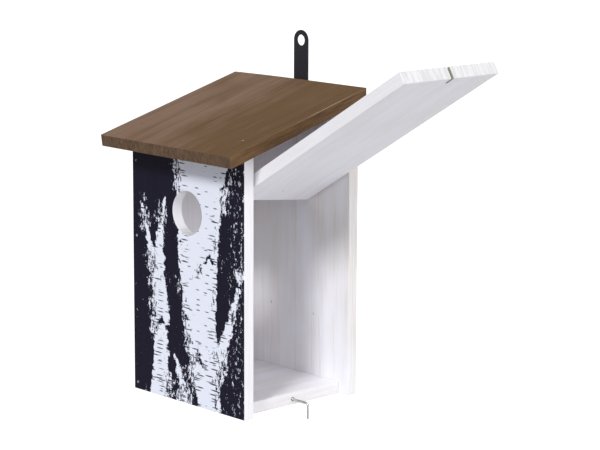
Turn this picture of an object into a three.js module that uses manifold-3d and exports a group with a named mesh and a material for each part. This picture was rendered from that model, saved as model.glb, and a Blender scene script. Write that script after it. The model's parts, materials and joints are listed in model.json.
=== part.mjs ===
// Wooden nest box with a hinged side door, a single-pitch roof board and a steel hanging strap.
//
// Millimetres, +Z up. The printed front faces -Y, the door is on the +X side, and the wall or tree is
// behind at +Y. Shapes are drawn with z = 0 at the panels' feet and y = 0 at the front face, and the
// finished group is then moved so that its origin is the hanging hole, in the plane of the wall.

import * as THREE from 'three';
import { mergeVertices } from 'three/addons/utils/BufferGeometryUtils.js';
import Module from 'manifold-3d';

const { degToRad } = THREE.MathUtils;

// Boards
const BOARD = 9;
const BOX_WIDTH = 123;
const BOX_DEPTH = 110.5;
const FLOOR_RECESS = 9.25;
const FIT_GAP = 0.3;

// Roof, measured at its upper front edge. Its front end leans, and its back end is plumb.
const ROOF_WIDTH = 142.5;
const ROOF_THICKNESS = 8.65;
const ROOF_PITCH = degToRad(15.85);
const ROOF_OVERHANG = 21.5;
const ROOF_FRONT_HEIGHT = 191.6;
const ROOF_FRONT_LEAN = degToRad(8.5);
const ROOF_BACK_SETBACK = 1.75;

// Entrance
const ENTRANCE_RADIUS = 16;
const ENTRANCE_HEIGHT = 140.6;
const ENTRANCE_SIDES = 48;

// Side door: turns on two nails through its mid-thickness, and stands open as it is drawn here
const DOOR_SIDE_GAP = 1;
const DOOR_TOP_GAP = 1.5;
const PIVOT_HEIGHT = 168.8;
const DOOR_ANGLE = degToRad(120.7);
const KERF_WIDTH = 2.4;
const KERF_DEPTH = 7.6;

// Latch: an L-shaped screw hook whose shank lies in the door's saw kerf when the door is shut
const LATCH_HEIGHT = 4;
const LATCH_REACH = 7;
const LATCH_DROP = 11.5;
const LATCH_BEND = 2.5;
const LATCH_WIRE_RADIUS = 0.9;
const LATCH_THREAD_RADIUS = 1.25;
const LATCH_THREAD_LENGTH = 14;
const LATCH_THREAD_POINT = 3;
const LATCH_LAP = 2;
const LATCH_STEPS = 24;
const LATCH_QUARTER_SIDES = 6;

// Hanging strap
const STRAP_WIDTH = 15;
const STRAP_THICKNESS = 1;
const STRAP_LENGTH = 120;
const HANG_HOLE_HEIGHT = 257;
const HANG_HOLE_RADIUS = 4;
const STRAP_ARC_SIDES = 14;

// Fasteners. Each is a turned profile: a head, a shank and a point. The strap's screws are countersunk,
// with their heads just under its rear face, so that the strap lies flat against the wall.
const BRAD = { headRadius: 1.1, headHeight: 0.6, shankRadius: 0.7, length: 22, point: 2 };
const PIVOT_NAIL = { headRadius: 1.6, headHeight: 0.9, shankRadius: 1, length: 26, point: 3 };
const SCREW = {
  headRadius: 3,
  headHeight: 1.6,
  shankRadius: 1.5,
  length: 8.5,
  point: 3,
  countersunk: true,
};
const FASTENER_SIDES = 12;
const HOLE_SIDES = 16;
const CUT_OVERRUN = 1;
const BRAD_PITCH = 55.5;
const LOWEST_BRAD = 5.5;
const BRADS_PER_EDGE = 4;
const FLOOR_BRAD_X = [-5.5, 40];
const SIDE_BRAD_Y = [30, 80];
const ROOF_BRAD_X = 55.25;
const ROOF_BRAD_DEPTH = 0.6;
const STRAP_SCREW_RISE = [12, 52];
const STRAP_SCREW_DEPTH = 0.1;

// Worked out from the above
const HALF_WIDTH = BOX_WIDTH / 2;
const INNER_HALF_WIDTH = HALF_WIDTH - BOARD;
const INNER_BACK = BOX_DEPTH - BOARD;
const DOOR_PIVOT_X = HALF_WIDTH - BOARD / 2;
const LATCH_Y = BOX_DEPTH / 2;
const FLOOR_EDGE = HALF_WIDTH - FLOOR_RECESS;

// Directions
const INTO_FRONT = new THREE.Vector3(0, 1, 0);
const INTO_BACK = new THREE.Vector3(0, -1, 0);
const DOWN = new THREE.Vector3(0, 0, -1);
const INTO_LEFT = new THREE.Vector3(1, 0, 0);

const wasm = await Module();
wasm.setup();

// ---------------------------------------------------------------- solids and booleans

function toSolid(geometry) {
  const plain = geometry.clone();
  plain.deleteAttribute('normal');
  plain.deleteAttribute('uv');
  const merged = mergeVertices(plain);
  const vertProperties = new Float32Array(merged.attributes.position.array);
  const triVerts = new Uint32Array(merged.index.array);
  return new wasm.Manifold(new wasm.Mesh({ numProp: 3, vertProperties, triVerts }));
}

function toGeometry(solid) {
  const mesh = solid.getMesh();
  const geometry = new THREE.BufferGeometry();
  geometry.setAttribute('position', new THREE.BufferAttribute(mesh.vertProperties, 3));
  geometry.setIndex(new THREE.BufferAttribute(mesh.triVerts, 1));
  geometry.computeVertexNormals();
  return geometry;
}

function cut(geometry, tools) {
  const solid = tools.reduce((rest, tool) => rest.subtract(toSolid(tool)), toSolid(geometry));
  return toGeometry(solid);
}

function join(first, second) {
  return toGeometry(toSolid(first).add(toSolid(second)));
}

function box(x0, x1, y0, y1, z0, z1) {
  const geometry = new THREE.BoxGeometry(x1 - x0, y1 - y0, z1 - z0);
  return geometry.translate((x0 + x1) / 2, (y0 + y1) / 2, (z0 + z1) / 2);
}

// An outline of [y, z] points, carried along X.
function extrudeAcross(outline, x0, x1) {
  const shape = new THREE.Shape(outline.map(([y, z]) => new THREE.Vector2(y, z)));
  const geometry = new THREE.ExtrudeGeometry(shape, { depth: x1 - x0, bevelEnabled: false });
  const axes = new THREE.Matrix4().makeBasis(
    new THREE.Vector3(0, 1, 0),
    new THREE.Vector3(0, 0, 1),
    new THREE.Vector3(1, 0, 0),
  );
  return geometry.applyMatrix4(axes).translate(x0, 0, 0);
}

// ---------------------------------------------------------------- fasteners

function turn(profile) {
  return new THREE.LatheGeometry(profile.map(([r, y]) => new THREE.Vector2(r, y)), FASTENER_SIDES);
}

// A turned piece, its point at 0 and its head's face at `length` along its own Y. A countersunk head
// flares from the shank up to that face, and any other head has a flat underside.
function turnFastener(kind) {
  const underHead = kind.length - kind.headHeight;
  const underside = kind.countersunk ? [] : [[kind.headRadius, underHead]];
  return turn([
    [0, 0],
    [kind.shankRadius, kind.point],
    [kind.shankRadius, underHead],
    ...underside,
    [kind.headRadius, kind.length],
    [0, kind.length],
  ]);
}

// The hole for it: wider by the fit gap, and open at the mouth.
function turnHole(kind) {
  const shank = kind.shankRadius + FIT_GAP;
  const head = kind.headRadius + FIT_GAP;
  const shoulder = kind.length - kind.headHeight - FIT_GAP;
  const mouth = kind.length + CUT_OVERRUN;
  return turn([
    [0, -FIT_GAP],
    [shank, kind.point],
    [shank, shoulder],
    [head, kind.countersunk ? kind.length : shoulder],
    [head, mouth],
    [0, mouth],
  ]);
}

// Moves a turned piece so that its head's face is at `head` and its point lies along `direction`.
function drive(geometry, kind, head, direction) {
  const towards = new THREE.Quaternion().setFromUnitVectors(new THREE.Vector3(0, -1, 0), direction);
  geometry.translate(0, -kind.length, 0).applyQuaternion(towards);
  return geometry.translate(...head);
}

function fastener(name, kind, head, direction) {
  return {
    name,
    solid: drive(turnFastener(kind), kind, head, direction),
    hole: drive(turnHole(kind), kind, head, direction),
  };
}

function numbered(prefix, kind, places, direction) {
  return places.map((head, i) => fastener(`${prefix}_${i + 1}`, kind, head, direction));
}

function roofSurface(y) {
  return ROOF_FRONT_HEIGHT + (y + ROOF_OVERHANG) * Math.tan(ROOF_PITCH);
}

function roofUnderside(y) {
  return roofSurface(y) - ROOF_THICKNESS / Math.cos(ROOF_PITCH);
}

// The left panel's edge takes a column of brads, and the floor's edge a row, from front and back alike.
function edgeBrads(y) {
  const column = Array.from({ length: BRADS_PER_EDGE }, (_, i) => [
    -DOOR_PIVOT_X,
    y,
    LOWEST_BRAD + i * BRAD_PITCH,
  ]);
  const row = FLOOR_BRAD_X.map((x) => [x, y, BOARD / 2]);
  return [...column, ...row];
}

// Roof brads stand upright, so that they stay inside the panels, with their heads just under the surface.
function roofBrads() {
  const rows = [BOARD / 2, BOX_DEPTH - BOARD / 2];
  const height = (y) => roofSurface(y) - ROOF_BRAD_DEPTH;
  return rows.flatMap((y) => [-ROOF_BRAD_X, ROOF_BRAD_X].map((x) => [x, y, height(y)]));
}

const strapFoot = HANG_HOLE_HEIGHT + STRAP_WIDTH / 2 - STRAP_LENGTH;
const strapRear = BOX_DEPTH + STRAP_THICKNESS;
const [lowerScrew, upperScrew] = STRAP_SCREW_RISE.map((rise) => [
  0,
  strapRear - STRAP_SCREW_DEPTH,
  strapFoot + rise,
]);

const brads = [
  ...numbered('front_brad', BRAD, edgeBrads(0), INTO_FRONT),
  ...numbered('back_brad', BRAD, edgeBrads(BOX_DEPTH), INTO_BACK),
  ...numbered('side_brad', BRAD, SIDE_BRAD_Y.map((y) => [-HALF_WIDTH, y, BOARD / 2]), INTO_LEFT),
  ...numbered('roof_brad', BRAD, roofBrads(), DOWN),
];
const pivotNails = [
  fastener('pivot_nail_front', PIVOT_NAIL, [DOOR_PIVOT_X, 0, PIVOT_HEIGHT], INTO_FRONT),
  fastener('pivot_nail_back', PIVOT_NAIL, [DOOR_PIVOT_X, BOX_DEPTH, PIVOT_HEIGHT], INTO_BACK),
];
const strapScrews = [
  fastener('hanger_screw_lower', SCREW, lowerScrew, INTO_BACK),
  fastener('hanger_screw_upper', SCREW, upperScrew, INTO_BACK),
];
const fasteners = [...brads, ...pivotNails, ...strapScrews];

// ---------------------------------------------------------------- boards

function drilled(geometry) {
  return cut(geometry, fasteners.map((one) => one.hole));
}

// An upright board from y0 to y1, its top bevelled to the roof's pitch with `gap` left under the roof.
function uprightOutline(y0, y1, gap) {
  return [
    [y0, 0],
    [y1, 0],
    [y1, roofUnderside(y1) - gap],
    [y0, roofUnderside(y0) - gap],
  ];
}

function frontPanel() {
  const board = extrudeAcross(uprightOutline(0, BOARD, FIT_GAP), -HALF_WIDTH, HALF_WIDTH);
  const length = BOARD + 2 * CUT_OVERRUN;
  const entrance = new THREE.CylinderGeometry(ENTRANCE_RADIUS, ENTRANCE_RADIUS, length, ENTRANCE_SIDES);
  entrance.translate(0, BOARD / 2, ENTRANCE_HEIGHT);
  return drilled(cut(board, [entrance]));
}

function backPanel() {
  return drilled(
    extrudeAcross(uprightOutline(INNER_BACK, BOX_DEPTH, FIT_GAP), -HALF_WIDTH, HALF_WIDTH),
  );
}

function leftPanel() {
  return drilled(
    extrudeAcross(uprightOutline(BOARD, INNER_BACK, FIT_GAP), -HALF_WIDTH, -INNER_HALF_WIDTH),
  );
}

function floorBoard() {
  const board = box(-INNER_HALF_WIDTH, FLOOR_EDGE, BOARD, INNER_BACK, 0, BOARD);
  const radius = LATCH_THREAD_RADIUS + FIT_GAP;
  const depth = LATCH_THREAD_LENGTH + FIT_GAP;
  const bore = new THREE.CylinderGeometry(radius, radius, 2 * depth, HOLE_SIDES);
  bore.rotateZ(Math.PI / 2).translate(FLOOR_EDGE, LATCH_Y, LATCH_HEIGHT);
  return drilled(cut(board, [bore]));
}

// The front end's lean is taken from the vertical drop between its upper and lower edges.
function roofBoard() {
  const back = BOX_DEPTH - ROOF_BACK_SETBACK;
  const lean = Math.tan(ROOF_FRONT_LEAN);
  const drop = ROOF_THICKNESS / Math.cos(ROOF_PITCH) / (1 + lean * Math.tan(ROOF_PITCH));
  const outline = [
    [-ROOF_OVERHANG + drop * lean, ROOF_FRONT_HEIGHT - drop],
    [back, roofUnderside(back)],
    [back, roofSurface(back)],
    [-ROOF_OVERHANG, ROOF_FRONT_HEIGHT],
  ];
  return drilled(extrudeAcross(outline, -ROOF_WIDTH / 2, ROOF_WIDTH / 2));
}

// The door is cut in its shut place, then handed over about its pivot.
function sideDoor() {
  const front = BOARD + DOOR_SIDE_GAP;
  const back = INNER_BACK - DOOR_SIDE_GAP;
  const board = extrudeAcross(uprightOutline(front, back, DOOR_TOP_GAP), INNER_HALF_WIDTH, HALF_WIDTH);
  const kerf = box(
    INNER_HALF_WIDTH - CUT_OVERRUN,
    HALF_WIDTH + CUT_OVERRUN,
    LATCH_Y - KERF_WIDTH / 2,
    LATCH_Y + KERF_WIDTH / 2,
    -CUT_OVERRUN,
    KERF_DEPTH,
  );
  return drilled(cut(board, [kerf])).translate(-DOOR_PIVOT_X, 0, -PIVOT_HEIGHT);
}

// ---------------------------------------------------------------- metalwork

function hangerStrap() {
  const half = STRAP_WIDTH / 2;
  const shape = new THREE.Shape();
  shape.moveTo(-half, strapFoot + half);
  shape.absarc(0, strapFoot + half, half, Math.PI, 2 * Math.PI);
  shape.absarc(0, HANG_HOLE_HEIGHT, half, 0, Math.PI);
  shape.closePath();
  const hole = new THREE.Path().absarc(0, HANG_HOLE_HEIGHT, HANG_HOLE_RADIUS, 0, 2 * Math.PI);
  shape.holes.push(hole);
  const plate = new THREE.ExtrudeGeometry(shape, {
    depth: STRAP_THICKNESS,
    curveSegments: STRAP_ARC_SIDES,
    bevelEnabled: false,
  });
  plate.rotateX(Math.PI / 2).translate(0, strapRear, 0);
  return drilled(plate);
}

// The hook's wire starts inside its thread, runs out level, bends, and hangs straight down.
function latchHook() {
  const start = new THREE.Vector3(FLOOR_EDGE - LATCH_LAP, LATCH_Y, LATCH_HEIGHT);
  const elbow = new THREE.Vector3(HALF_WIDTH + LATCH_REACH, LATCH_Y, LATCH_HEIGHT);
  const bendStart = elbow.clone().add(new THREE.Vector3(-LATCH_BEND, 0, 0));
  const bendEnd = elbow.clone().add(new THREE.Vector3(0, 0, -LATCH_BEND));
  const tip = elbow.clone().add(new THREE.Vector3(0, 0, -LATCH_DROP));
  const path = new THREE.CurvePath();
  path.add(new THREE.LineCurve3(start, bendStart));
  path.add(new THREE.QuadraticBezierCurve3(bendStart, elbow, bendEnd));
  path.add(new THREE.LineCurve3(bendEnd, tip));
  const section = new THREE.Shape().absarc(0, 0, LATCH_WIRE_RADIUS, 0, 2 * Math.PI);
  const wire = new THREE.ExtrudeGeometry(section, {
    steps: LATCH_STEPS,
    curveSegments: LATCH_QUARTER_SIDES,
    extrudePath: path,
  });

  const thread = turn([
    [0, 0],
    [LATCH_THREAD_RADIUS, LATCH_THREAD_POINT],
    [LATCH_THREAD_RADIUS, LATCH_THREAD_LENGTH],
    [0, LATCH_THREAD_LENGTH],
  ]);
  thread.rotateZ(-Math.PI / 2).translate(FLOOR_EDGE - LATCH_THREAD_LENGTH, LATCH_Y, LATCH_HEIGHT);
  return join(wire, thread);
}

// ---------------------------------------------------------------- materials and assembly

const paintedPine = { color: 0xe9e7ec, roughness: 0.62, metalness: 0 };
const printedPine = { color: 0x8d8c99, roughness: 0.5, metalness: 0 };
const stainedPine = { color: 0x7a5d46, roughness: 0.7, metalness: 0 };
const blackSteel = { color: 0x2d2d33, roughness: 0.45, metalness: 0.6 };
const zincSteel = { color: 0xb9bcc0, roughness: 0.35, metalness: 1 };

function part(name, geometry, finish) {
  const mesh = new THREE.Mesh(geometry, new THREE.MeshStandardMaterial(finish));
  mesh.name = name;
  return mesh;
}

const fixed = new THREE.Group();
fixed.add(
  part('front_panel', frontPanel(), printedPine),
  part('back_panel', backPanel(), paintedPine),
  part('left_side_panel', leftPanel(), paintedPine),
  part('floor_board', floorBoard(), paintedPine),
  part('roof_board', roofBoard(), stainedPine),
  part('hanger_strap', hangerStrap(), blackSteel),
  ...fasteners.map((one) => part(one.name, one.solid, zincSteel)),
);

const door = new THREE.Group();
door.position.set(DOOR_PIVOT_X, 0, PIVOT_HEIGHT);
door.rotation.y = -DOOR_ANGLE;
door.add(part('side_door', sideDoor(), paintedPine));

const nestBox = new THREE.Group();
nestBox.position.set(0, -strapRear, -HANG_HOLE_HEIGHT);
nestBox.add(fixed, door, part('latch_hook', latchHook(), zincSteel));

const assembly = new THREE.Group();
assembly.add(nestBox);

export default assembly;
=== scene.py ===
"""The looks of a wooden nest box with a side door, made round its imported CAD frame.

Metres, +Z up. The printed front faces -Y, the door is on the +X side, and the wall is behind at +Y.
Boards are drawn as outlines of (y, z) points carried along X, with the door in its shut place.
"""

import json
import math

import bmesh
import bpy
import numpy as np
from mathutils import Matrix, Vector, noise


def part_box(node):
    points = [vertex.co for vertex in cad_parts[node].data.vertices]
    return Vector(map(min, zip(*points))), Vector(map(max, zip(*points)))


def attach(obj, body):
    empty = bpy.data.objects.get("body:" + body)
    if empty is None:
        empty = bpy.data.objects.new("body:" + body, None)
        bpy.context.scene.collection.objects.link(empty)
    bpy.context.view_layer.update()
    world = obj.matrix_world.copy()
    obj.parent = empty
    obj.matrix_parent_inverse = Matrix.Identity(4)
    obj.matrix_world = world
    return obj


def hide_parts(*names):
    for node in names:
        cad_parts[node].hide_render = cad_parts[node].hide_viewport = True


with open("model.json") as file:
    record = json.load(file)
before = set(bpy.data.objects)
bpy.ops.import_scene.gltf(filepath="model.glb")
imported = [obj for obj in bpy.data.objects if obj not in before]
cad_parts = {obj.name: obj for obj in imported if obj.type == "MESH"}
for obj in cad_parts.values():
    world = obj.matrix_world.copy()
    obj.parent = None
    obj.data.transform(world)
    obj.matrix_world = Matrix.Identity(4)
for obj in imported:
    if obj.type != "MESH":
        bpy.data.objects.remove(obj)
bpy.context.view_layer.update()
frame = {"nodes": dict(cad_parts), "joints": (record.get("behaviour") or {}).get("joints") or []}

MM = 0.001
X_AXIS, Y_AXIS, Z_AXIS = Vector((1, 0, 0)), Vector((0, 1, 0)), Vector((0, 0, 1))
X, Y, Z = range(3)

# ---------------------------------------------------------------- sizes that the frame doesn't give

ROOF_PITCH = math.radians(15.85)
ROOF_THICKNESS = 8.65 * MM
ROOF_FRONT_LEAN = math.radians(8.5)
ROOF_WARP = 0.7 * MM
DOOR_TOP_GAP = 1.5 * MM
KERF_WIDTH = 2.4 * MM
KERF_DEPTH = 7.6 * MM
ENTRANCE_RADIUS = 16 * MM
ENTRANCE_RISE = 140.6 * MM
PIVOT_BORE_RADIUS = 1.3 * MM
PIVOT_BORE_DEPTH = 18 * MM
HOOK_BORE_RADIUS = 1.5 * MM
WIRE_RADIUS = 0.9 * MM
HANG_HOLE_RADIUS = 4 * MM

EDGE_RADIUS = 0.5 * MM
EDGE_STEPS = 3
SHARP_ANGLE = math.radians(35)
SMOOTH_ANGLE = math.radians(40)
SLICE_TOLERANCE = 0.001 * MM
OVERRUN = 1 * MM
ROUND_SIDES = 64
SMALL_SIDES = 24

# ---------------------------------------------------------------- places taken from the frame

front_lo, front_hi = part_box("front_panel")
back_lo, back_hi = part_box("back_panel")
left_lo, left_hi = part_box("left_side_panel")
floor_lo, floor_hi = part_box("floor_board")
roof_lo, roof_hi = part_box("roof_board")
strap_lo, strap_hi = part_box("hanger_strap")
hook_lo, hook_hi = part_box("latch_hook")
door_lo, door_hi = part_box("side_door")

joints = {joint["name"]: joint for joint in frame["joints"]}
pivot = Vector(joints["door_hinge"]["pos_m"])
hook_axis = Vector(joints["hook_turn"]["pos_m"])
door_open = math.radians(-joints["door_hinge"]["range_deg"][0])

foot = front_lo.z
board = front_hi.y - front_lo.y
entrance = Vector((0, front_lo.y, foot + ENTRANCE_RISE))


def roof_top(y):
    """The height of the roof's upper face above a place y."""
    return roof_hi.z + (y - roof_hi.y) * math.tan(ROOF_PITCH)


def roof_under(y):
    return roof_top(y) - ROOF_THICKNESS / math.cos(ROOF_PITCH)


# ---------------------------------------------------------------- solids


def prism(outline, sweep):
    """A closed solid: a loop of points carried along the vector `sweep`."""
    solid = bmesh.new()
    near = [solid.verts.new(point) for point in outline]
    far = [solid.verts.new(Vector(point) + sweep) for point in outline]
    solid.faces.new(near)
    solid.faces.new(far)
    for i in range(len(near)):
        j = (i + 1) % len(near)
        solid.faces.new((near[i], near[j], far[j], far[i]))
    bmesh.ops.recalc_face_normals(solid, faces=solid.faces)
    return solid


def turned(profile, sides):
    """A closed solid of revolution about Z, from (radius, height) points that start and end on the axis."""
    solid = bmesh.new()
    rings = []
    for radius, height in profile:
        if radius == 0:
            rings.append([solid.verts.new((0, 0, height))] * sides)
            continue
        angles = [2 * math.pi * k / sides for k in range(sides)]
        rings.append([solid.verts.new((radius * math.cos(a), radius * math.sin(a), height)) for a in angles])
    for low, high in zip(rings, rings[1:]):
        for i in range(sides):
            j = (i + 1) % sides
            solid.faces.new(list(dict.fromkeys((low[i], low[j], high[j], high[i]))))
    bmesh.ops.recalc_face_normals(solid, faces=solid.faces)
    return solid


def pointing(place, way):
    """Carries a solid turned about Z to a place, with its Z along `way`."""
    return Matrix.Translation(place) @ way.to_track_quat("Z", "Y").to_matrix().to_4x4()


def rod(start, end, radius, sides=SMALL_SIDES):
    """A plain cylinder between two points."""
    length = (end - start).length
    solid = turned([(0, 0), (radius, 0), (radius, length), (0, length)], sides)
    solid.transform(pointing(start, end - start))
    return solid


def new_object(name, solid):
    mesh = bpy.data.meshes.new(name)
    solid.to_mesh(mesh)
    solid.free()
    obj = bpy.data.objects.new(name, mesh)
    bpy.context.scene.collection.objects.link(obj)
    return obj


def apply_modifiers(obj):
    evaluated = obj.evaluated_get(bpy.context.evaluated_depsgraph_get())
    before, obj.data = obj.data, bpy.data.meshes.new_from_object(evaluated)
    obj.modifiers.clear()
    bpy.data.meshes.remove(before)


def subtract(obj, solids):
    tools = [new_object("tool", solid) for solid in solids]
    for tool in tools:
        step = obj.modifiers.new("cut", "BOOLEAN")
        step.operation = "DIFFERENCE"
        step.solver = "EXACT"
        step.object = tool
    apply_modifiers(obj)
    for tool in tools:
        bpy.data.meshes.remove(tool.data)


def round_edges(obj, radius, steps=EDGE_STEPS):
    solid = bmesh.new()
    solid.from_mesh(obj.data)
    sharp = [edge for edge in solid.edges if edge.calc_face_angle(0) > SHARP_ANGLE]
    bmesh.ops.bevel(
        solid, geom=sharp, offset=radius, segments=steps, profile=0.5, affect="EDGES", clamp_overlap=True
    )
    solid.to_mesh(obj.data)
    solid.free()


def slice_across(obj, axis, spacing):
    """Cuts the mesh by evenly spaced planes, so that it can bend and carry a pattern."""
    solid = bmesh.new()
    solid.from_mesh(obj.data)
    reach = [vert.co.dot(axis) for vert in solid.verts]
    low, high = min(reach), max(reach)
    count = max(1, round((high - low) / spacing))
    for k in range(1, count):
        everything = [*solid.verts, *solid.edges, *solid.faces]
        place = axis * (low + (high - low) * k / count)
        bmesh.ops.bisect_plane(
            solid, geom=everything, dist=SLICE_TOLERANCE, plane_co=place, plane_no=axis
        )
    solid.to_mesh(obj.data)
    solid.free()


def smooth(obj):
    """Smooth shading with flat faces kept flat."""
    obj.data.shade_smooth()
    obj.data.set_sharp_from_angle(angle=SMOOTH_ANGLE)
    step = obj.modifiers.new("normals", "WEIGHTED_NORMAL")
    step.keep_sharp = True
    apply_modifiers(obj)


def vertex_places(obj):
    places = np.empty(len(obj.data.vertices) * 3)
    obj.data.vertices.foreach_get("co", places)
    return places.reshape(-1, 3)


def paint_vertices(obj, name, values):
    layer = obj.data.attributes.new(name, "FLOAT", "POINT")
    layer.data.foreach_set("value", np.asarray(values, np.float32))


# ---------------------------------------------------------------- boards

PLANED_WAVE = 0.12 * MM
PLANED_LENGTH = 45 * MM
ARRIS_REACH = 0.4 * MM
BOARD_GRID = 8 * MM
PRINT_GRID = 1.5 * MM


def planed(obj, seed):
    """Hand-sized unevenness: every point sinks a little way into the wood, never out of it."""
    mesh = obj.data
    sunk = []
    for vert in mesh.vertices:
        wave = 0.5 + 0.5 * noise.noise(vert.co / PLANED_LENGTH + Vector((seed, 0, 0)))
        sunk.append(vert.co - vert.normal * PLANED_WAVE * min(max(wave, 0), 1))
    for vert, place in zip(mesh.vertices, sunk):
        vert.co = place


def edge_distance(places, outline, x0, x1):
    """How far each point is from the board's nearest edge: its second smallest distance to a side."""
    sides = [places[:, 0] - x0, x1 - places[:, 0]]
    middle = np.mean(outline, axis=0)
    for (ya, za), (yb, zb) in zip(outline, outline[1:] + outline[:1]):
        normal = np.array([zb - za, ya - yb]) / math.hypot(yb - ya, zb - za)
        if normal @ (middle - (ya, za)) < 0:
            normal = -normal
        sides.append((places[:, 1:] - (ya, za)) @ normal)
    return np.sort(np.abs(sides), axis=0)[1]


def make_board(name, outline, x0, x1, seed, openings=(), recesses=(), grid=BOARD_GRID):
    """A board with rounded edges. Openings are cut before its edges are rounded, recesses after.

    The points on the rounded edges carry the attribute "arris", where the finish wears first.
    """
    points = [(x0, y, z) for y, z in outline]
    obj = new_object(name, prism(points, X_AXIS * (x1 - x0)))
    if openings:
        subtract(obj, openings)
    round_edges(obj, EDGE_RADIUS)
    if recesses:
        subtract(obj, recesses)
    slice_across(obj, X_AXIS, grid)
    slice_across(obj, Z_AXIS, grid)
    planed(obj, seed)
    paint_vertices(obj, "arris", edge_distance(vertex_places(obj), outline, x0, x1) < ARRIS_REACH)
    return obj


def upright(y0, y1, gap=0.0):
    """The outline of a board that stands on the box's foot and is bevelled to the roof above it."""
    return [(y0, foot), (y1, foot), (y1, roof_under(y1) - gap), (y0, roof_under(y0) - gap)]


def rectangle(y0, y1, z0, z1):
    return [(y0, z0), (y1, z0), (y1, z1), (y0, z1)]


def stands_for(obj, node, body, material):
    """Finishes a piece: its material, and the CAD node, body and finish that it stands for."""
    obj.data.materials.clear()
    obj.data.materials.append(material)
    smooth(obj)
    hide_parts(node)
    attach(obj, body)


# ---------------------------------------------------------------- fasteners

BRAD = {"head": 0.9 * MM, "height": 0.6 * MM, "shank": 0.6 * MM, "point": 2 * MM}
PIVOT_NAIL = {"head": 1.3 * MM, "height": 0.9 * MM, "shank": 1 * MM, "point": 3 * MM}
HEAD_SUNK = 0.12 * MM
HEAD_RECESS = 0.35 * MM
HEAD_GAP = 0.06 * MM
# Shares of a head's height: how far its dome falls to the rim, and how low its rim reaches.
DOME_FALL = 0.35
RIM_REACH = 0.8
BRAD_WAYS = {"front": -Y_AXIS, "back": Y_AXIS, "side": -X_AXIS, "roof": Z_AXIS}
NAIL_WAYS = {"pivot_nail_front": -Y_AXIS, "pivot_nail_back": Y_AXIS}

brad_nodes = sorted(node for node in frame["nodes"] if "_brad_" in node)


def head_place(node, way):
    """The middle of a driven piece's head, given the way that the head faces."""
    lo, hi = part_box(node)
    middle, half = (lo + hi) / 2, (hi - lo) / 2
    head = middle + way * abs(half.dot(way))
    if way == Z_AXIS:
        head.z = roof_top(head.y)
    return head


def lean_to_roof(solid, head):
    """Shears an upright piece so that its flat faces follow the roof's slope."""
    shear = Matrix.Identity(4)
    shear[2][1] = math.tan(ROOF_PITCH)
    solid.transform(Matrix.Translation(head) @ shear @ Matrix.Translation(-head))


def head_recess(node, way, kind):
    """The shallow hole that a driven piece's head lies in."""
    head = head_place(node, way)
    recess = rod(head - way * HEAD_RECESS, head + way * OVERRUN, kind["head"] + HEAD_GAP)
    if way == Z_AXIS:
        lean_to_roof(recess, head)
    return recess


def brad_recesses(side):
    nodes = [node for node in brad_nodes if node.startswith(side)]
    return [head_recess(node, BRAD_WAYS[side], BRAD) for node in nodes]


def nail_recess(node):
    return head_recess(node, NAIL_WAYS[node], PIVOT_NAIL)


def nail_profile(kind, length):
    """A domed head with a rounded rim, a shank and a point, with heights that run down from the wood."""
    top = -HEAD_SUNK
    dome = [
        (kind["head"] * math.sin(a), top - DOME_FALL * kind["height"] * (1 - math.cos(a)))
        for a in np.radians([0, 25, 50, 72, 90])
    ]
    return [
        *dome,
        (kind["head"], top - RIM_REACH * kind["height"]),
        (kind["shank"], top - kind["height"]),
        (kind["shank"], kind["point"] - length),
        (0, -length),
    ]


def drive_nail(name, node, way, kind, material):
    """A brad or pivot nail as long as its CAD node."""
    lo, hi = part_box(node)
    solid = turned(nail_profile(kind, max(hi - lo)), SMALL_SIDES)
    head = head_place(node, way)
    solid.transform(pointing(head, way))
    if way == Z_AXIS:
        lean_to_roof(solid, head)
    stands_for(new_object(name, solid), node, "box", material)


# ---------------------------------------------------------------- materials


def colour(red, green, blue):
    """A screen colour, 0 to 255, as the linear one that shaders take."""
    parts = [part / 255 for part in (red, green, blue)]
    return (*(p / 12.92 if p <= 0.04045 else ((p + 0.055) / 1.055) ** 2.4 for p in parts), 1)


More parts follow.
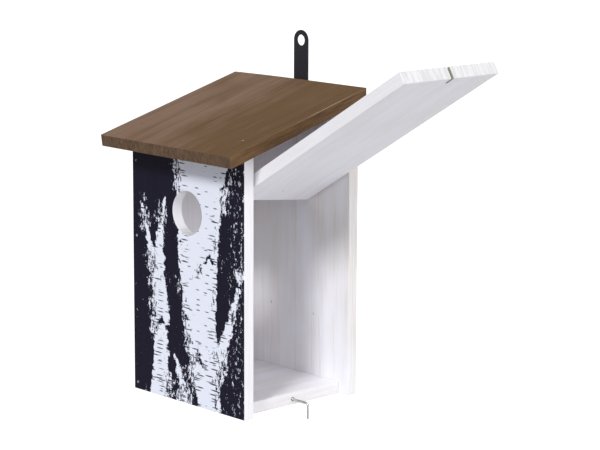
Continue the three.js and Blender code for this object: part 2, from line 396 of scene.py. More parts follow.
class Shader:
    """A material's node tree, with a short call for each kind of node used here. Lengths are in mm."""

    def __init__(self, name, roughness=0.5, metallic=0.0, specular=0.5):
        self.material = bpy.data.materials.new(name)
        self.material.use_nodes = True
        self.nodes = self.material.node_tree.nodes
        self.links = self.material.node_tree.links
        self.surface = self.nodes["Principled BSDF"].inputs
        self.surface["Roughness"].default_value = roughness
        self.surface["Metallic"].default_value = metallic
        self.surface["Specular IOR Level"].default_value = specular

    def put(self, socket, value):
        if isinstance(value, bpy.types.NodeSocket):
            self.links.new(value, socket)
        else:
            socket.default_value = value

    def add(self, kind, inputs, output=0, **settings):
        node = self.nodes.new("ShaderNode" + kind)
        for key, value in settings.items():
            setattr(node, key, value)
        for key, value in inputs.items():
            self.put(node.inputs[key], value)
        return node.outputs[output]

    def maths(self, operation, a, b=0.0):
        return self.add("Math", {0: a, 1: b}, operation=operation)

    def product(self, a, b):
        return self.maths("MULTIPLY", a, b)

    def total(self, a, b):
        return self.maths("ADD", a, b)

    def step(self, value, low, high):
        """0 up to low, 1 from high, and smooth between."""
        inputs = {"Value": value, "From Min": low, "From Max": high}
        return self.add("MapRange", inputs, interpolation_type="SMOOTHSTEP")

    def remap(self, value, low, high):
        return self.add("MapRange", {"Value": value, "To Min": low, "To Max": high})

    def mix(self, share, a, b):
        return self.add("Mix", {0: share, 6: a, 7: b}, output=2, data_type="RGBA")

    def place(self, stretch=(1, 1, 1), shift=0.0, tilt=0.0):
        """Object coordinates in mm, turned about X, with features drawn out along an axis by its stretch."""
        coordinates = self.add("TexCoord", {}, output="Object")
        if tilt:
            coordinates = self.add("Mapping", {"Vector": coordinates, "Rotation": (tilt, 0, 0)})
        scale = [1 / (MM * part) for part in stretch]
        return self.add("Mapping", {"Vector": coordinates, "Location": (shift,) * 3, "Scale": scale})

    def noise(self, place, size, detail=2.0, roughness=0.5, distortion=0.0):
        inputs = {"Vector": place, "Scale": 1 / size, "Detail": detail, "Roughness": roughness}
        return self.add("TexNoise", {**inputs, "Distortion": distortion})

    def along(self, axis):
        """The place along one of the object's axes, in mm."""
        return self.add("SeparateXYZ", {0: self.place()}, output=axis)

    def inverse(self, value):
        return self.maths("SUBTRACT", 1.0, value)

    def larger(self, a, b):
        return self.maths("MAXIMUM", a, b)

    def facing(self, axis, signed=False):
        """How far the surface faces along an object axis, 0 to 1 either way, or signed."""
        normal = self.add("TexCoord", {}, output="Normal")
        along = self.add("SeparateXYZ", {0: normal}, output=axis)
        return along if signed else self.maths("ABSOLUTE", along)

    def attribute(self, name):
        return self.add("Attribute", {}, output="Fac", attribute_name=name)

    def bump(self, height, depth):
        """Relief of a given depth, in mm, from a height between 0 and 1."""
        normal = self.add("Bump", {"Height": height, "Distance": depth * MM, "Strength": 1.0})
        self.put(self.surface["Normal"], normal)


PAINT_WHITE = colour(240, 240, 247)
PAINT_THIN = colour(214, 206, 197)
PAINT_END = colour(207, 207, 207)
KNOT_BROWN = colour(118, 106, 94)
# Bare sawn wood, made darker to paint the shade inside the door's deep kerf.
SAWN_WOOD_AND_KERF_SHADE = colour(158, 155, 143)
GRAIN_STRETCH = 26
END_STRETCH = 7
KNOT_STRETCH = 1.7
# How far from the kerf's middle its bare wood and painted shade start to fade out, and where they are gone.
KERF_FADE = (KERF_WIDTH, 1.2 * KERF_WIDTH)


def drawn_out(axis, stretch):
    """A pattern's stretch along the three axes, when it is drawn out along one of them."""
    return [stretch if k == axis else 1 for k in range(3)]


def white_coat(shader, grain, thick, seed, cover):
    """Thin white paint over planed pine: the less its cover, the more the wood shows through.

    The grain runs along one axis, and on the board's ends the rings cross its thickness.
    """
    lines = shader.place(drawn_out(grain, GRAIN_STRETCH), seed)
    fine = shader.noise(lines, 1.1, detail=3, roughness=0.6)
    broad = shader.noise(lines, 8, detail=2, distortion=0.5)
    uneven = shader.noise(shader.place(drawn_out(grain, 2.5), seed), 30, detail=2)
    arris = shader.attribute("arris")
    streak = shader.product(shader.step(broad, 0.3, 0.65), shader.step(fine, 0.3, 0.7))
    worn = shader.total(shader.product(shader.step(uneven, 0.35, 0.65), 0.35), shader.product(arris, 0.4))
    shown = shader.total(shader.product(streak, 0.55), worn)
    paint = shader.mix(shader.product(shown, 1 - cover), PAINT_WHITE, PAINT_THIN)

    rings = shader.noise(shader.place(drawn_out(thick, END_STRETCH), seed), 2.6, detail=2, distortion=0.3)
    end = shader.step(shader.facing(grain), 0.75, 0.9)
    soaked = shader.total(0.35, shader.product(shader.step(rings, 0.42, 0.62), 0.45))
    paint = shader.mix(shader.product(end, soaked), paint, PAINT_END)

    brushed = shader.total(shader.product(fine, 0.6), shader.product(broad, 0.4))
    rough = shader.remap(shader.noise(lines, 3, detail=2), 0.5, 0.72)
    shader.put(shader.surface["Roughness"], rough)
    return paint, brushed


def knots_on(shader, paint, knots):
    """Small dark pin knots, drawn out upwards, at the given places in the object's own metres."""
    here = shader.place((1, 1, KNOT_STRETCH))
    for knot, radius in knots:
        middle = Vector((knot.x, knot.y, knot.z / KNOT_STRETCH)) / MM
        offset = shader.add("VectorMath", {0: here, 1: middle}, operation="SUBTRACT")
        away = shader.add("VectorMath", {0: offset}, output="Value", operation="LENGTH")
        spot = shader.inverse(shader.step(away, radius * 0.35, radius))
        paint = shader.mix(shader.product(spot, 0.55), paint, KNOT_BROWN)
    return paint


def bare_and_shaded_kerf(shader, paint):
    """Bare sawn wood, darkened as painted shade inside the deep slot, on the walls of the door's kerf, which
    face along Y at the door's middle.
    """
    from_middle = shader.maths("ABSOLUTE", shader.total(shader.along(Y), -hook_axis.y / MM))
    near, far = [edge / MM for edge in KERF_FADE]
    inside = shader.inverse(shader.step(from_middle, near, far))
    walls = shader.product(inside, shader.step(shader.facing(Y), 0.7, 0.9))
    return shader.mix(walls, paint, SAWN_WOOD_AND_KERF_SHADE)


def painted_pine(name, grain, thick, seed, cover, knots=(), kerfed=False):
    shader = Shader(name, specular=0.3)
    paint, relief = white_coat(shader, grain, thick, seed, cover)
    paint = knots_on(shader, paint, knots)
    if kerfed:
        # The kerf's walls get bare wood with painted shade.
        paint = bare_and_shaded_kerf(shader, paint)
    shader.put(shader.surface["Base Color"], paint)
    shader.bump(relief, 0.10)
    return shader.material


INK_BLACK = colour(23, 21, 38)
PRINT_WHITE = colour(231, 235, 249)


def dashes(shader, place, cell, size, kept):
    """Short marks, one in each cell of the given size, of which a share is kept."""
    cells = {"Vector": place, "Scale": 1 / cell}
    near = shader.add("TexVoronoi", cells)
    pick = shader.add("SeparateXYZ", {0: shader.add("TexVoronoi", cells, output="Color")})
    mark = shader.inverse(shader.step(near, size * 0.7, size * 1.3))
    return shader.product(mark, shader.maths("LESS_THAN", pick, kept))


def bark_marks(shader, inside, seed):
    """The bark's dark marks: short dashes, and longer lines on thin limbs and towards a trunk's sides."""
    short = dashes(shader, shader.place((4.5, 1, 1), seed), 1.9, 0.24, 0.42)
    long = dashes(shader, shader.place((9, 1, 1), seed), 1.7, 0.27, 0.6)
    lined = shader.inverse(shader.step(inside, 7, 14))
    return shader.larger(shader.product(short, 0.85), shader.product(long, lined))


def bark_flecks(shader, edge, seed):
    """Small upright flecks, thick near the limbs' edges, in patches, and on the panel's door side."""
    patches = shader.step(shader.noise(shader.place(shift=seed + 20), 26, detail=1), 0.44, 0.58)
    near_edge = shader.inverse(shader.step(shader.maths("ABSOLUTE", edge), 1, 11))
    door_side = shader.step(shader.along(X), 34, 52)
    density = shader.total(shader.product(near_edge, patches), shader.product(door_side, 0.5))
    upright_noise = shader.noise(shader.place((1, 1, 2.2), seed + 50), 1.9, detail=4, roughness=0.75)
    return shader.step(shader.total(upright_noise, shader.product(density, 0.2)), 0.7, 0.72)


def bark_print(shader, seed):
    """How white the print is, from how far inside a limb each point of the mesh is."""
    inside = shader.attribute("inside")
    ragged = shader.noise(shader.place((1, 1, 1.4), seed), 4.0, detail=5, roughness=0.7)
    edge = shader.total(inside, shader.remap(ragged, -6.5, 6.5))
    bark = shader.step(edge, -0.15, 0.15)
    fleck = bark_flecks(shader, edge, seed)
    both = shader.product(bark, fleck)
    white = shader.maths("SUBTRACT", shader.total(bark, fleck), shader.product(both, 2.0))
    return shader.product(white, shader.inverse(bark_marks(shader, inside, seed)))


def printed_pine(name, grain, thick, seed):
    """White paint with a birch bark print on the front face."""
    shader = Shader(name, specular=0.12)
    paint, relief = white_coat(shader, grain, thick, seed, cover=0.5)
    front = shader.step(shader.product(shader.facing(Y, signed=True), -1.0), 0.6, 0.8)
    paint = shader.mix(front, paint, PRINT_WHITE)
    inked = shader.product(front, shader.inverse(bark_print(shader, seed)))
    shader.put(shader.surface["Base Color"], shader.mix(inked, paint, INK_BLACK))
    shader.bump(relief, 0.06)
    return shader.material


STAIN_MID = colour(118, 92, 70)
STAIN_ROSY = colour(134, 109, 92)
STAIN_OLIVE = colour(109, 84, 58)
STAIN_DARK = colour(84, 63, 46)
STAIN_PALE = colour(158, 134, 110)
STAIN_SIDE = colour(114, 85, 54)
STAIN_END = colour(74, 59, 47)
STAIN_WORN = colour(184, 164, 138)


def stained_pine(name, seed):
    """Brown wood stain, streaked along the slope, warmer on the sides and darker on the end grain."""
    shader = Shader(name, specular=0.2)
    lines = shader.place((1, 24, 1), seed, tilt=-ROOF_PITCH)
    fine = shader.noise(lines, 0.8, detail=3, roughness=0.65)
    broad = shader.noise(lines, 7, detail=4, roughness=0.6, distortion=1.2)
    wide = shader.noise(shader.place((1, 2.5, 1), seed, tilt=-ROOF_PITCH), 24, detail=3)
    across = shader.step(shader.total(shader.along(X), shader.remap(wide, -110, 110)), -80, 50)
    stain = shader.mix(across, STAIN_ROSY, STAIN_OLIVE)
    stain = shader.mix(shader.product(shader.step(broad, 0.45, 0.7), 0.4), stain, STAIN_DARK)
    stain = shader.mix(shader.product(shader.step(fine, 0.5, 0.8), 0.18), stain, STAIN_DARK)
    scratches = shader.noise(shader.place((1, 45, 1), seed + 9, tilt=-ROOF_PITCH), 0.9, detail=2)
    stain = shader.mix(shader.product(shader.step(scratches, 0.62, 0.72), 0.3), stain, STAIN_PALE)
    specks = shader.noise(shader.place(shift=seed), 0.9, detail=2)
    stain = shader.mix(shader.product(shader.step(specks, 0.66, 0.74), 0.3), stain, STAIN_PALE)

    side = shader.step(shader.facing(X), 0.6, 0.85)
    side_stain = shader.mix(shader.step(fine, 0.35, 0.65), STAIN_SIDE, STAIN_DARK)
    stain = shader.mix(side, stain, side_stain)
    end = shader.step(shader.facing(Y), 0.8, 0.93)
    pores = shader.noise(shader.place((1, 30, 2.6), seed), 1.5, detail=4, roughness=0.7)
    end_stain = shader.mix(shader.step(pores, 0.25, 0.8), STAIN_END, STAIN_MID)
    stain = shader.mix(end, stain, end_stain)

    worn = shader.product(shader.attribute("wear"), shader.step(fine, 0.35, 0.6))
    shader.put(shader.surface["Base Color"], shader.mix(worn, stain, STAIN_WORN))
    relief = shader.total(shader.product(fine, 0.6), shader.product(broad, 0.4))
    shader.put(shader.surface["Roughness"], shader.remap(fine, 0.6, 0.85))
    shader.bump(relief, 0.14)
    return shader.material


ZINC_DULL = colour(182, 182, 178)
ZINC_BRIGHT = colour(222, 224, 228)
ZINC_AGED = colour(150, 150, 160)
ROOF_HEAD_BARE = colour(214, 184, 166)
COAT_BLACK = colour(30, 30, 38)
COAT_DUSTY = colour(39, 39, 47)


def covered_head(name, coat, bare, share, seed=0.0):
    """A brad's head under the board's own finish, which has worn off a share of the heads."""
    shader = Shader(name, roughness=0.55, specular=0.2)
    spread = shader.noise(shader.place(shift=seed), 21, detail=1)
    scuffed = shader.noise(shader.place(), 0.5, detail=2)
    least = 0.7 - 0.4 * share
    worn = shader.product(shader.step(spread, least, least + 0.05), shader.step(scuffed, 0.25, 0.5))
    shader.put(shader.surface["Base Color"], shader.mix(worn, coat, bare))
    shader.bump(scuffed, 0.03)
    return shader.material


def powder_coat(name):
    """Black powder coat: a fine orange-peel skin on steel."""
    shader = Shader(name, specular=0.25)
    here = shader.place()
    peel = shader.noise(here, 0.7, detail=2)
    dust = shader.noise(here, 14, detail=2)
    shader.put(shader.surface["Base Color"], shader.mix(dust, COAT_BLACK, COAT_DUSTY))
    shader.put(shader.surface["Roughness"], shader.remap(dust, 0.36, 0.5))
    shader.bump(peel, 0.03)
    return shader.material


def zinc_plate(name):
    """Bright zinc with faint drawing lines and duller patches."""
    shader = Shader(name, metallic=1.0)
    here = shader.place()
    patches = shader.noise(here, 3, detail=3)
    scuffs = shader.noise(shader.place((9, 1, 9)), 0.25, detail=2)
    shader.put(shader.surface["Base Color"], shader.mix(patches, ZINC_DULL, ZINC_BRIGHT))
    shader.put(shader.surface["Roughness"], shader.remap(patches, 0.2, 0.38))
    shader.bump(scuffs, 0.01)
    return shader.material


# ---------------------------------------------------------------- the front's birch bark print
#
# A plain stand of birches on black, with x from the panel's middle and heights from its foot, in mm.

# Each limb: x and height at its foot, x and height at its tip, its half widths there, and its bow.
PALE_LIMBS = [
    (27, -12, 21, 205, 11, 29, -12),
    (-34, -12, -52, 142, 11, 1, 11),
    (-29, 62, -24, 150, 9, 1, -5),
    (24, 22, 57, 100, 8, 1, 3),
    (0, -12, -15, 34, 8, 1, 2),
]
# Scars over old branches: x, the height of the top and the half width.
BRANCH_SCARS = [(24, 112, 9), (-29, 58, 8), (12, 36, 7)]
SCAR_FALL = 0.8
SCAR_HALF_THICKNESS = 2.6


def inside_limb(x, height, limb):
    """How far each point is inside a limb, in mm, and negative outside it."""
    foot_x, foot_height, tip_x, tip_height, foot_half, tip_half, bow = limb
    along = np.clip((height - foot_height) / (tip_height - foot_height), 0, 1)
    middle = foot_x + along * (tip_x - foot_x) + 4 * bow * along * (1 - along)
    beyond = height - foot_height - along * (tip_height - foot_height)
    return foot_half + along * (tip_half - foot_half) - np.hypot(x - middle, beyond)


def inside_scar(x, height, scar):
    """The same for a scar: a line that falls away on both sides of its top and tapers out."""
    scar_x, top, half_width = scar
    across = np.abs(x - scar_x)
    return SCAR_HALF_THICKNESS * (1 - across / half_width) - np.abs(height - top + SCAR_FALL * across)


def print_bark(obj):
    """Paints on the mesh how far inside the pale bark each point is."""
    places = vertex_places(obj) - (0, 0, foot)
    x, height = places[:, 0] / MM, places[:, 2] / MM
    limbs = np.max([inside_limb(x, height, limb) for limb in PALE_LIMBS], axis=0)
    scars = np.max([inside_scar(x, height, scar) for scar in BRANCH_SCARS], axis=0)
    paint_vertices(obj, "inside", np.minimum(limbs, -scars))


# ---------------------------------------------------------------- the box's boards

# Each knot: its place on a board's inner face, and its radius in mm.
BACK_KNOTS = [
    (Vector((24.5 * MM, back_lo.y, foot + 55.7 * MM)), 0.7),
    (Vector((-22 * MM, back_lo.y, foot + 57 * MM)), 0.9),
]
DOOR_KNOTS = [(Vector((front_hi.x - board, front_lo.y + 51.5 * MM, foot + 185 * MM)), 0.9)]


def make_front():
    through = Y_AXIS * (board + OVERRUN)
    hole = rod(entrance - Y_AXIS * OVERRUN, entrance + through, ENTRANCE_RADIUS, ROUND_SIDES)
    obj = make_board(
        "front_board",
        upright(front_lo.y, front_hi.y),
        front_lo.x,
        front_hi.x,
        seed=1,
        openings=[hole],
        recesses=[*brad_recesses("front"), nail_recess("pivot_nail_front")],
        grid=PRINT_GRID,
    )
    print_bark(obj)
    paint = printed_pine("printed_front", grain=Z, thick=Y, seed=11)
    stands_for(obj, "front_panel", "box", paint)


def make_back():
    outline = upright(back_lo.y, back_hi.y)
    recesses = [*brad_recesses("back"), nail_recess("pivot_nail_back")]
    obj = make_board("back_board", outline, back_lo.x, back_hi.x, seed=2, recesses=recesses)
    paint = painted_pine("painted_back", grain=Z, thick=Y, seed=23, cover=0.1, knots=BACK_KNOTS)
    stands_for(obj, "back_panel", "box", paint)


def make_left():
    outline = upright(left_lo.y, left_hi.y)
    recesses = brad_recesses("side")
    obj = make_board("left_board", outline, left_lo.x, left_hi.x, seed=3, recesses=recesses)
    paint = painted_pine("painted_left", grain=Z, thick=X, seed=37, cover=0.5)
    stands_for(obj, "left_side_panel", "box", paint)


def make_floor():
    edge = Vector((floor_hi.x, hook_axis.y, hook_axis.z))
    depth = X_AXIS * (floor_hi.x - hook_lo.x + OVERRUN)
    bore = rod(edge - depth, edge + X_AXIS * OVERRUN, HOOK_BORE_RADIUS)
    outline = rectangle(floor_lo.y, floor_hi.y, floor_lo.z, floor_hi.z)
    obj = make_board("floor_plank", outline, floor_lo.x, floor_hi.x, seed=4, recesses=[bore])
    paint = painted_pine("painted_floor", grain=Y, thick=Z, seed=41, cover=0.45)
    stands_for(obj, "floor_board", "box", paint)


# Where the roof's edge is rubbed, in mm behind the front panel's face. Wear is full in the middle, and
# falls to nothing at this many half lengths from it.
WORN_EDGE = (50, 90)
WEAR_REACH = 1.4


def make_roof():
    """The roof board: its front end leans, and its back end is plumb."""
    lean = math.tan(ROOF_FRONT_LEAN)
    # How far the front end's lower edge lies below its upper one.
    drop = ROOF_THICKNESS / math.cos(ROOF_PITCH) / (1 + lean * math.tan(ROOF_PITCH))
    outline = [
        (roof_lo.y + drop * lean, roof_top(roof_lo.y) - drop),
        (roof_hi.y, roof_under(roof_hi.y)),
        (roof_hi.y, roof_hi.z),
        (roof_lo.y, roof_top(roof_lo.y)),
    ]
    recesses = brad_recesses("roof")
    obj = make_board("roof_plank", outline, roof_lo.x, roof_hi.x, seed=5, recesses=recesses)
    wear_roof_edge(obj)
    warp_roof(obj)
    stain = stained_pine("stained_roof", seed=53)
    stands_for(obj, "roof_board", "box", stain)


def wear_roof_edge(obj):
    """A rubbed line along part of the roof's upper edge on the door's side."""
    places = vertex_places(obj)
    arris = np.empty(len(places), np.float32)
    obj.data.attributes["arris"].data.foreach_get("value", arris)
    upper = places[:, 2] > np.array([(roof_top(y) + roof_under(y)) / 2 for y in places[:, 1]])
    depth = (places[:, 1] - front_lo.y) / MM
    middle, half = sum(WORN_EDGE) / 2, (WORN_EDGE[1] - WORN_EDGE[0]) / 2
    along = np.clip(WEAR_REACH - np.abs(depth - middle) / half, 0, 1)
    paint_vertices(obj, "wear", arris * along * upper * (places[:, 0] > 0))


def warp_roof(obj):
    """The board has warped: its back corner away from the door hangs lower."""
    half = (roof_hi.x - roof_lo.x) / 2
    for vert in obj.data.vertices:
        back = (vert.co.y - roof_lo.y) / (roof_hi.y - roof_lo.y)
        away = max(-vert.co.x / half, 0)
        vert.co.z -= ROOF_WARP * away**2 * back


def make_door():
    """The door is drawn shut and its object is turned open about its pivot."""
    kerf_y = (hook_axis.y - KERF_WIDTH / 2, hook_axis.y + KERF_WIDTH / 2)
    kerf_outline = rectangle(*kerf_y, foot - OVERRUN, foot + KERF_DEPTH)
    inner = front_hi.x - board
    kerf = prism([(inner - OVERRUN, y, z) for y, z in kerf_outline], X_AXIS * (board + 2 * OVERRUN))
    bores = []
    for y, way in ((door_lo.y, Y_AXIS), (door_hi.y, -Y_AXIS)):
        mouth = Vector((pivot.x, y, pivot.z))
        bores.append(rod(mouth - way * OVERRUN, mouth + way * PIVOT_BORE_DEPTH, PIVOT_BORE_RADIUS))
    outline = upright(door_lo.y, door_hi.y, DOOR_TOP_GAP)
    obj = make_board("door_board", outline, inner, front_hi.x, seed=6, recesses=[kerf, *bores])
    paint = painted_pine(
        "painted_door", grain=Z, thick=X, seed=67, cover=0.6, knots=DOOR_KNOTS, kerfed=True
    )
    turn = Matrix.Rotation(door_open, 4, Vector(joints["door_hinge"]["axis"]))
    obj.matrix_world = Matrix.Translation(pivot) @ turn @ Matrix.Translation(-pivot)
    stands_for(obj, "side_door", "door", paint)


# ---------------------------------------------------------------- metalwork

SCREW_NODES = ("hanger_screw_upper", "hanger_screw_lower")
SCREW_HEAD_RADIUS = 3 * MM
SCREW_HEAD_HEIGHT = 1.6 * MM
SCREW_SHANK_RADIUS = 1.5 * MM
SCREW_POINT = 3 * MM
SCREW_SIDES = 32
# The rounded rim of a screw's head: how far in from its radius, and how far below its face.
SCREW_RIM = [(0.15 * MM, 0), (0, 0.12 * MM), (0.05 * MM, 0.3 * MM)]
SLOT_WIDTH = 0.8 * MM
SLOT_LENGTH = 3.4 * MM
SLOT_DEPTH = 1.1 * MM
SCREW_HOLE_GAP = 0.08 * MM
SCREW_HOLE_DEPTH = 4 * MM
STRAP_EDGE_RADIUS = 0.2 * MM
STRAP_EDGE_STEPS = 2
STRAP_GRID = 12 * MM


def make_brads():
    coats = {
        "front": covered_head("inked_heads", INK_BLACK, ZINC_AGED, share=0.6),
        "back": covered_head("painted_heads", PAINT_WHITE, ZINC_AGED, share=0.4),
        "roof": covered_head("stained_heads", STAIN_MID, ROOF_HEAD_BARE, share=0.4, seed=59),
    }
    coats["side"] = coats["back"]
    for node in brad_nodes:
        side = node.split("_")[0]
        drive_nail(node.replace("_brad_", "_pin_"), node, BRAD_WAYS[side], BRAD, coats[side])


def make_pivot_nails(zinc):
    for node, way in NAIL_WAYS.items():
        drive_nail(node.replace("nail", "pin"), node, way, PIVOT_NAIL, zinc)


def cross_slots(head, way):
    """The two crossed slots in a screw's head."""
    middle = head + way * OVERRUN
    slots = []
    for across in (X_AXIS, Z_AXIS):
        along = across * SLOT_LENGTH / 2
        aside = across.cross(way) * SLOT_WIDTH / 2
        outline = [middle + along * a + aside * b for a, b in ((-1, -1), (1, -1), (1, 1), (-1, 1))]
        slots.append(prism(outline, -way * (SLOT_DEPTH + OVERRUN)))
    return slots


def screw_profile(length):
    rim = [(SCREW_HEAD_RADIUS - inwards, -below) for inwards, below in SCREW_RIM]
    return [
        (0, 0),
        *rim,
        (SCREW_SHANK_RADIUS, -SCREW_HEAD_HEIGHT),
        (SCREW_SHANK_RADIUS, SCREW_POINT - length),
        (0, -length),
    ]


def make_strap_screws(zinc):
    for node in SCREW_NODES:
        lo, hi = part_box(node)
        solid = turned(screw_profile(hi.y - lo.y), SCREW_SIDES)
        head = head_place(node, Y_AXIS)
        solid.transform(pointing(head, Y_AXIS))
        obj = new_object(node.replace("hanger", "strap"), solid)
        subtract(obj, cross_slots(head, Y_AXIS))
        stands_for(obj, node, "box", zinc)


def countersink(node):
    """The hole for a strap screw, flared to its head."""
    shank = SCREW_SHANK_RADIUS + SCREW_HOLE_GAP
    head = SCREW_HEAD_RADIUS + SCREW_HOLE_GAP
    profile = [
        (0, -SCREW_HOLE_DEPTH),
        (shank, -SCREW_HOLE_DEPTH),
        (shank, -SCREW_HEAD_HEIGHT),
        (head, 0),
        (head, OVERRUN),
        (0, OVERRUN),
    ]
    solid = turned(profile, SCREW_SIDES)
    solid.transform(pointing(head_place(node, Y_AXIS), Y_AXIS))
    return solid


def make_strap():
    """A strip with two round ends and a hanging hole in the upper one."""
    radius = (strap_hi.x - strap_lo.x) / 2
    ends = ((strap_hi.z - radius, 0), (strap_lo.z + radius, math.pi))
    outline = []
    for z, start in ends:
        for k in range(ROUND_SIDES // 2 + 1):
            angle = start + math.pi * k / (ROUND_SIDES // 2)
            outline.append((radius * math.cos(angle), strap_lo.y, z + radius * math.sin(angle)))
    thickness = strap_hi.y - strap_lo.y
    obj = new_object("strap", prism(outline, Y_AXIS * thickness))
    middle = Vector((0, strap_lo.y, 0))
    through = Y_AXIS * (thickness + OVERRUN)
    hole = rod(middle - Y_AXIS * OVERRUN, middle + through, HANG_HOLE_RADIUS, ROUND_SIDES)
    subtract(obj, [hole])
    round_edges(obj, STRAP_EDGE_RADIUS, STRAP_EDGE_STEPS)
    subtract(obj, [countersink(node) for node in SCREW_NODES])
    slice_across(obj, Z_AXIS, STRAP_GRID)
    stands_for(obj, "hanger_strap", "box", powder_coat("powder_coat"))


HOOK_BEND = 2.5 * MM
HOOK_SIDES = 20
THREAD_RADIUS = 1.25 * MM
THREAD_CORE = 0.85 * MM
THREAD_PITCH = 1.1 * MM
THREAD_POINT = 3 * MM
THREAD_RUN_OUT = 1.8 * MM
THREAD_SHARPNESS = 1.5
THREAD_STEP = THREAD_PITCH / 10
WIRE_STEP = 0.5 * MM
TIP_ROUNDING = 0.6 * MM


def hook_line():
    """The wire's middle from its point in the floor to its tip, and its whole length.

    Each step is (place, side, distance along): the wire's round section lies in `side` and Y.
    """
    start = Vector((hook_lo.x, hook_axis.y, hook_axis.z))
    elbow = Vector((hook_hi.x - WIRE_RADIUS, hook_axis.y, hook_axis.z))
    level = elbow.x - HOOK_BEND - start.x
    bend = HOOK_BEND * math.pi / 2
    down = elbow.z - HOOK_BEND - hook_lo.z
    centre = elbow - X_AXIS * HOOK_BEND - Z_AXIS * HOOK_BEND
    threaded = floor_hi.x - start.x + THREAD_RUN_OUT
    total = level + bend + down
    fine = np.arange(0, threaded, THREAD_STEP)
    coarse = np.arange(threaded, total - TIP_ROUNDING, WIRE_STEP)
    rounding = total - TIP_ROUNDING * (1 - np.sin(np.radians([0, 30, 60, 80])))
    line = []
    for s in (*fine, *coarse, *rounding):
        if s < level:
            line.append((start + X_AXIS * s, Z_AXIS, s))
        elif s < level + bend:
            angle = (s - level) / HOOK_BEND
            side = X_AXIS * math.sin(angle) + Z_AXIS * math.cos(angle)
            line.append((centre + side * HOOK_BEND, side, s))
        else:
            line.append((centre + X_AXIS * HOOK_BEND - Z_AXIS * (s - level - bend), X_AXIS, s))
    return line, total


def hook_radius(s, angle, total):
    """The wire's radius: a screw thread that ends just outside the wood, then plain, then a round tip."""
    wood = floor_hi.x - hook_lo.x
    fade = min(max((wood + THREAD_RUN_OUT - s) / (THREAD_RUN_OUT + OVERRUN), 0), 1)
    ridge = abs(((s / THREAD_PITCH - angle / (2 * math.pi)) % 1) * 2 - 1) ** THREAD_SHARPNESS
    core = THREAD_CORE if fade > 0 else WIRE_RADIUS
    radius = core + (THREAD_RADIUS - THREAD_CORE) * ridge * fade
    radius *= min(s / THREAD_POINT, 1)
    left = (total - s) / TIP_ROUNDING
    return radius * math.sqrt(max(1 - (1 - left) ** 2, 0)) if left < 1 else radius


def make_hook(zinc):
    solid = bmesh.new()
    line, total = hook_line()
    rings = []
    for place, side, s in line[1:]:
        ring = []
        for k in range(HOOK_SIDES):
            angle = 2 * math.pi * k / HOOK_SIDES
            way = side * math.cos(angle) + Y_AXIS * math.sin(angle)
            ring.append(solid.verts.new(place + way * hook_radius(s, angle, total)))
        rings.append(ring)
    for low, high in zip(rings, rings[1:]):
        for i in range(HOOK_SIDES):
            j = (i + 1) % HOOK_SIDES
            solid.faces.new((low[i], low[j], high[j], high[i]))
    for ring in (rings[0], rings[-1]):
        solid.faces.new(ring)
    bmesh.ops.recalc_face_normals(solid, faces=solid.faces)
    stands_for(new_object("screw_hook", solid), "latch_hook", "latch", zinc)


# ---------------------------------------------------------------- studio

CAMERA_AIM = Vector((0.0148, -0.0148, -0.135))
CAMERA_DISTANCE = 1.6
CAMERA_AZIMUTH = math.radians(46.87)
CAMERA_ELEVATION = math.radians(10.68)
CAMERA_ROLL = math.radians(0.26)
CAMERA_LENS = 129.75
SENSOR_WIDTH = 36
CLIP_END = 100
# The object hangs, so the studio's floor is well below it.
STUDIO_FLOOR_HEIGHT = -0.75
STUDIO_FLOOR_RADIUS = 1.0
STUDIO_FLOOR_PALE = colour(222, 222, 224)
# The surround's brightness by height: the sine of the angle above the horizon, and how bright it is there.
STUDIO_LIGHT = [(-1.0, 0.6), (-0.45, 0.6), (-0.32, 1.12), (-0.06, 1.12), (0.06, 0.31), (1.0, 0.28)]
# How much brighter or dimmer it is towards each axis's lower and upper end.
STUDIO_SIDES = {"X": (0.9, 1.1), "Y": (0.45, 1.3)}
# Each lamp: its strength, then its azimuth, its elevation and how wide it looks, in degrees.
LAMPS = {"key_light": (2.15, 21, 38, 14), "side_light": (1.3, 80, 26, 76)}
LAMP_DISTANCE = 2


def view_matrix(aim, distance, azimuth, elevation, roll=0.0):
    """A camera's or lamp's place: azimuth 0 looks along +Y, and elevation is above the horizon."""
    turn = Matrix.Rotation(azimuth, 4, "Z") @ Matrix.Rotation(math.pi / 2 - elevation, 4, "X")
    back_off = Matrix.Translation((0, 0, distance)) @ Matrix.Rotation(roll, 4, "Z")
    return Matrix.Translation(aim) @ turn @ back_off


def make_camera():
    camera = bpy.data.objects.new("camera", bpy.data.cameras.new("camera"))
    camera.data.lens = CAMERA_LENS
    camera.data.sensor_width = SENSOR_WIDTH
    camera.data.clip_end = CLIP_END
    camera.matrix_world = view_matrix(
        CAMERA_AIM, CAMERA_DISTANCE, CAMERA_AZIMUTH, CAMERA_ELEVATION, CAMERA_ROLL
    )
    bpy.context.scene.collection.objects.link(camera)
    bpy.context.scene.camera = camera


def light_by_height(nodes, links, height):
    """A curve through the points of STUDIO_LIGHT."""
    ramp = nodes.new("ShaderNodeFloatCurve")
    links.new(height, ramp.inputs["Value"])
    ramp.mapping.clip_min_x = -1
    ramp.mapping.clip_max_y = 2
    points = ramp.mapping.curves[0].points
    for _ in STUDIO_LIGHT[2:]:
        points.new(0, 0)
    for point, place in zip(points, STUDIO_LIGHT):
        point.location = place
        point.handle_type = "VECTOR"
    ramp.mapping.update()
    return ramp.outputs[0]


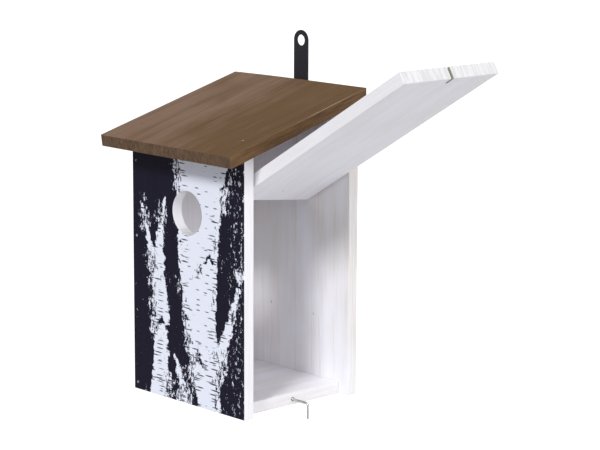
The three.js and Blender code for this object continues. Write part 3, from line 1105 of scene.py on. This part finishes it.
def scale_by_side(nodes, links, along, ends, strength):
    """The strength times a factor that runs evenly from one end of an axis to the other."""
    side = nodes.new("ShaderNodeMapRange")
    side.inputs["From Min"].default_value = -1
    side.inputs["To Min"].default_value, side.inputs["To Max"].default_value = ends
    links.new(along, side.inputs["Value"])
    product = nodes.new("ShaderNodeMath")
    product.operation = "MULTIPLY"
    links.new(strength, product.inputs[0])
    links.new(side.outputs[0], product.inputs[1])
    return product.outputs[0]


def make_surround():
    """A white surround, brightest just below the horizon and behind, and dimmest overhead and in front."""
    world = bpy.data.worlds.new("studio")
    world.use_nodes = True
    nodes, links = world.node_tree.nodes, world.node_tree.links
    direction = nodes.new("ShaderNodeSeparateXYZ")
    links.new(nodes.new("ShaderNodeTexCoord").outputs["Generated"], direction.inputs[0])
    strength = light_by_height(nodes, links, direction.outputs["Z"])
    for axis, ends in STUDIO_SIDES.items():
        strength = scale_by_side(nodes, links, direction.outputs[axis], ends, strength)
    links.new(strength, nodes["Background"].inputs["Strength"])
    nodes["Background"].inputs["Color"].default_value = (1, 1, 1, 1)
    bpy.context.scene.world = world
    bpy.context.scene.view_settings.view_transform = "Standard"


def make_lamps():
    """A soft key light, and a softer one from the door's side."""
    for name, (strength, azimuth, elevation, width) in LAMPS.items():
        lamp = bpy.data.objects.new(name, bpy.data.lights.new(name, "SUN"))
        lamp.data.energy = strength
        lamp.data.angle = math.radians(width)
        azimuth, elevation = math.radians(azimuth), math.radians(elevation)
        lamp.matrix_world = view_matrix(CAMERA_AIM, LAMP_DISTANCE, azimuth, elevation)
        bpy.context.scene.collection.objects.link(lamp)


def make_studio_floor():
    solid = bmesh.new()
    bmesh.ops.create_circle(solid, cap_ends=True, radius=STUDIO_FLOOR_RADIUS, segments=ROUND_SIDES)
    solid.transform(Matrix.Translation((0, front_lo.y / 2, STUDIO_FLOOR_HEIGHT)))
    floor = new_object("studio_floor", solid)
    shader = Shader("pale_floor", roughness=0.9, specular=0.0)
    shader.put(shader.surface["Base Color"], STUDIO_FLOOR_PALE)
    floor.data.materials.append(shader.material)


make_camera()
make_surround()
make_lamps()
make_studio_floor()

make_front()
make_back()
make_left()
make_floor()
make_roof()
make_door()
make_strap()

zinc = zinc_plate("zinc_plate")
make_strap_screws(zinc)
make_brads()
make_pivot_nails(zinc)
make_hook(zinc)

bpy.context.view_layer.update()
